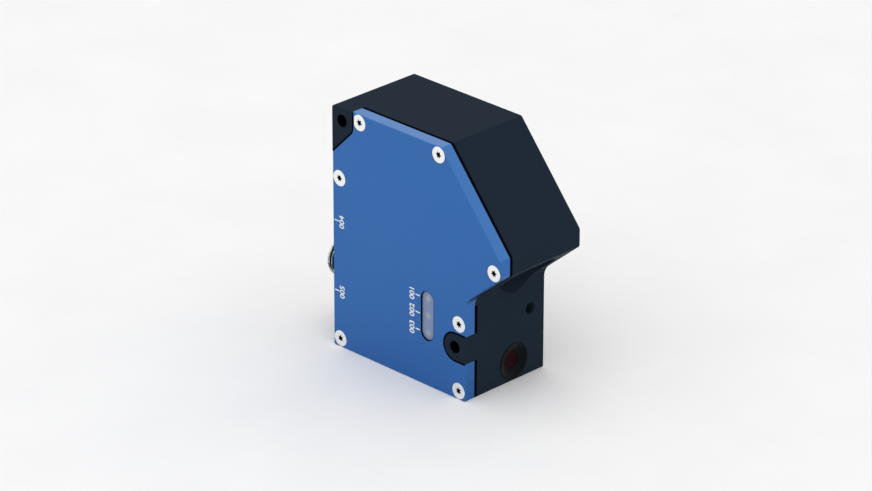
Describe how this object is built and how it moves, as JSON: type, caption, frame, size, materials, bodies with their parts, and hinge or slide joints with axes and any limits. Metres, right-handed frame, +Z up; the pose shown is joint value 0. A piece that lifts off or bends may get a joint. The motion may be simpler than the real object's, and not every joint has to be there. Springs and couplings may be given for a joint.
{
  "type": "laser displacement sensor",
  "caption": "Triangulating laser distance sensor: tall black housing with an overhanging nose, blue screwed side cover, round emitter window in the foot and threaded plugs at the back.",
  "frame": {"origin": "centre of the flat foot: midway between the back face and the foot's front face, and midway across the width", "axes": "+X towards the front, where the beam leaves and the nose overhangs; +Z up from the foot; -Y is the side of the screwed cover"},
  "size_m": [0.0766, 0.03, 0.0707],
  "materials": {
    "black_anodised": "fine bead-blasted black anodised aluminium, satin",
    "blue_anodised": "fine bead-blasted blue anodised aluminium, satin",
    "seal_rubber": "matte",
    "bright_steel": "bright stainless, smooth",
    "frosted_window": "frosted translucent plastic",
    "circuit_board": "green solder mask over glass-filled epoxy",
    "chip_black": "matte moulded epoxy",
    "ferrite_grey": "matte sintered ferrite",
    "optics_black": "glossy black anodised aluminium",
    "red_filter_glass": "polished dark red filter glass",
    "brass": "turned brass",
    "clear_glass": "polished and coated lens glass",
    "flex_film": "amber polyimide film",
    "socket_plastic": "natural moulded nylon",
    "sensor_ceramic": "ceramic package with a glass lid",
    "nickel_brass": "nickel-plated turned brass",
    "plug_plastic": "black moulded plastic",
    "gold_contacts": "gold-plated contacts",
    "lamp_epoxy": "clear epoxy lamp package, unlit"
  },
  "bodies": {
    "root": {"housing": "black_anodised", "cover_plate": "blue_anodised", "cover_gasket": "seal_rubber", "cover_screws": "bright_steel", "led_window": "frosted_window", "main_board": "circuit_board", "processor": "chip_black", "memory_chip": "chip_black", "network_chip": "chip_black", "magnetics": "chip_black", "power_inductor": "ferrite_grey", "emitter_ring": "optics_black", "emitter_window": "red_filter_glass", "laser_barrel": "brass", "collimator_lens": "clear_glass", "laser_diode": "bright_steel", "laser_board": "circuit_board", "laser_flex": "flex_film", "laser_socket": "socket_plastic", "receiver_window": "red_filter_glass", "receiver_ring": "optics_black", "receiver_barrel": "optics_black", "receiver_lens": "clear_glass", "sensor_hood": "optics_black", "sensor_board": "circuit_board", "image_sensor": "sensor_ceramic", "sensor_flex": "flex_film", "sensor_socket": "socket_plastic", "plug_a_shell": "nickel_brass", "plug_a_insert": "plug_plastic", "plug_a_pins": "gold_contacts", "plug_a_seal": "seal_rubber", "plug_a_nut": "nickel_brass", "plug_b_shell": "nickel_brass", "plug_b_insert": "plug_plastic", "plug_b_contacts": "gold_contacts", "plug_b_seal": "seal_rubber", "plug_b_nut": "nickel_brass", "connector_board": "circuit_board", "link_header": "socket_plastic", "status_led_1": "lamp_epoxy", "status_led_2": "lamp_epoxy", "status_led_3": "lamp_epoxy"}
  },
  "joints": []
}
